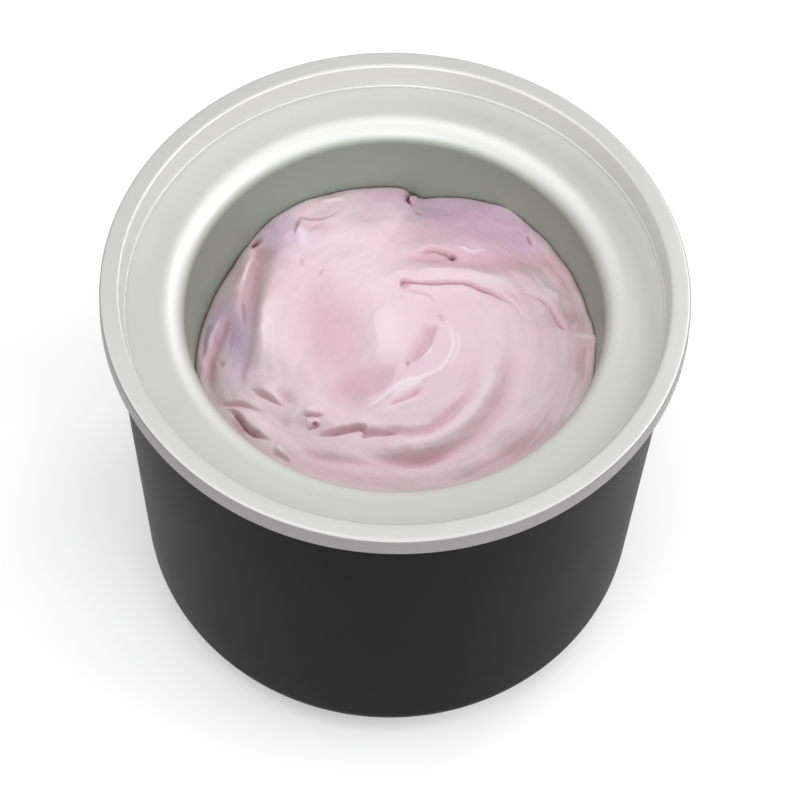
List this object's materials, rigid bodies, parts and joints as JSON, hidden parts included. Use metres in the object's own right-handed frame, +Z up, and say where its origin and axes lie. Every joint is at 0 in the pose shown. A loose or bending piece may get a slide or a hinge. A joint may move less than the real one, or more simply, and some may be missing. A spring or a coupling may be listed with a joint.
{
  "type": "ice cream maker freezer bowl",
  "caption": "Double-walled freezer bowl of an ice cream maker: dark round shell, pale overhanging collar, metal inner bowl, full of swirled ice cream.",
  "frame": {"origin": "centre of the bowl's underside, on the plane its feet rest on", "axes": "+Z up along the bowl's axis, out of its mouth; +X to the right and +Y to the back as seen from the front; the feet lie at 45 degrees between them"},
  "size_m": [0.229, 0.229, 0.191],
  "materials": {
    "light_plastic": "satin",
    "charcoal_plastic": "satin",
    "bowl_metal": "satin",
    "rubber": "matte",
    "jacket_plastic": "matte",
    "gel": "gloss",
    "foam": "matte",
    "steel": "satin",
    "brass": "satin",
    "ice": "satin"
  },
  "bodies": {
    "bowl": {"collar_ring": "light_plastic", "outer_shell": "charcoal_plastic", "inner_bowl": "bowl_metal", "rim_gasket": "rubber", "collar_seal": "rubber", "coolant_jacket": "jacket_plastic", "coolant_gel": "gel", "fill_plug": "jacket_plastic", "fill_plug_o_ring": "rubber", "foam_sleeve": "foam", "foam_base": "foam", "foot_front_right": "rubber", "shell_screw_front_right": "steel", "shell_insert_front_right": "brass", "foot_back_right": "rubber", "shell_screw_back_right": "steel", "shell_insert_back_right": "brass", "foot_back_left": "rubber", "shell_screw_back_left": "steel", "shell_insert_back_left": "brass", "foot_front_left": "rubber", "shell_screw_front_left": "steel", "shell_insert_front_left": "brass"},
    "ice_cream": {"ice_cream": "ice"}
  },
  "joints": [
    {"name": "ice_cream_lift", "type": "slide", "parent": "bowl", "child": "ice_cream", "axis": [0, 0, 1], "range_m": [0, 0.16]}
  ]
}
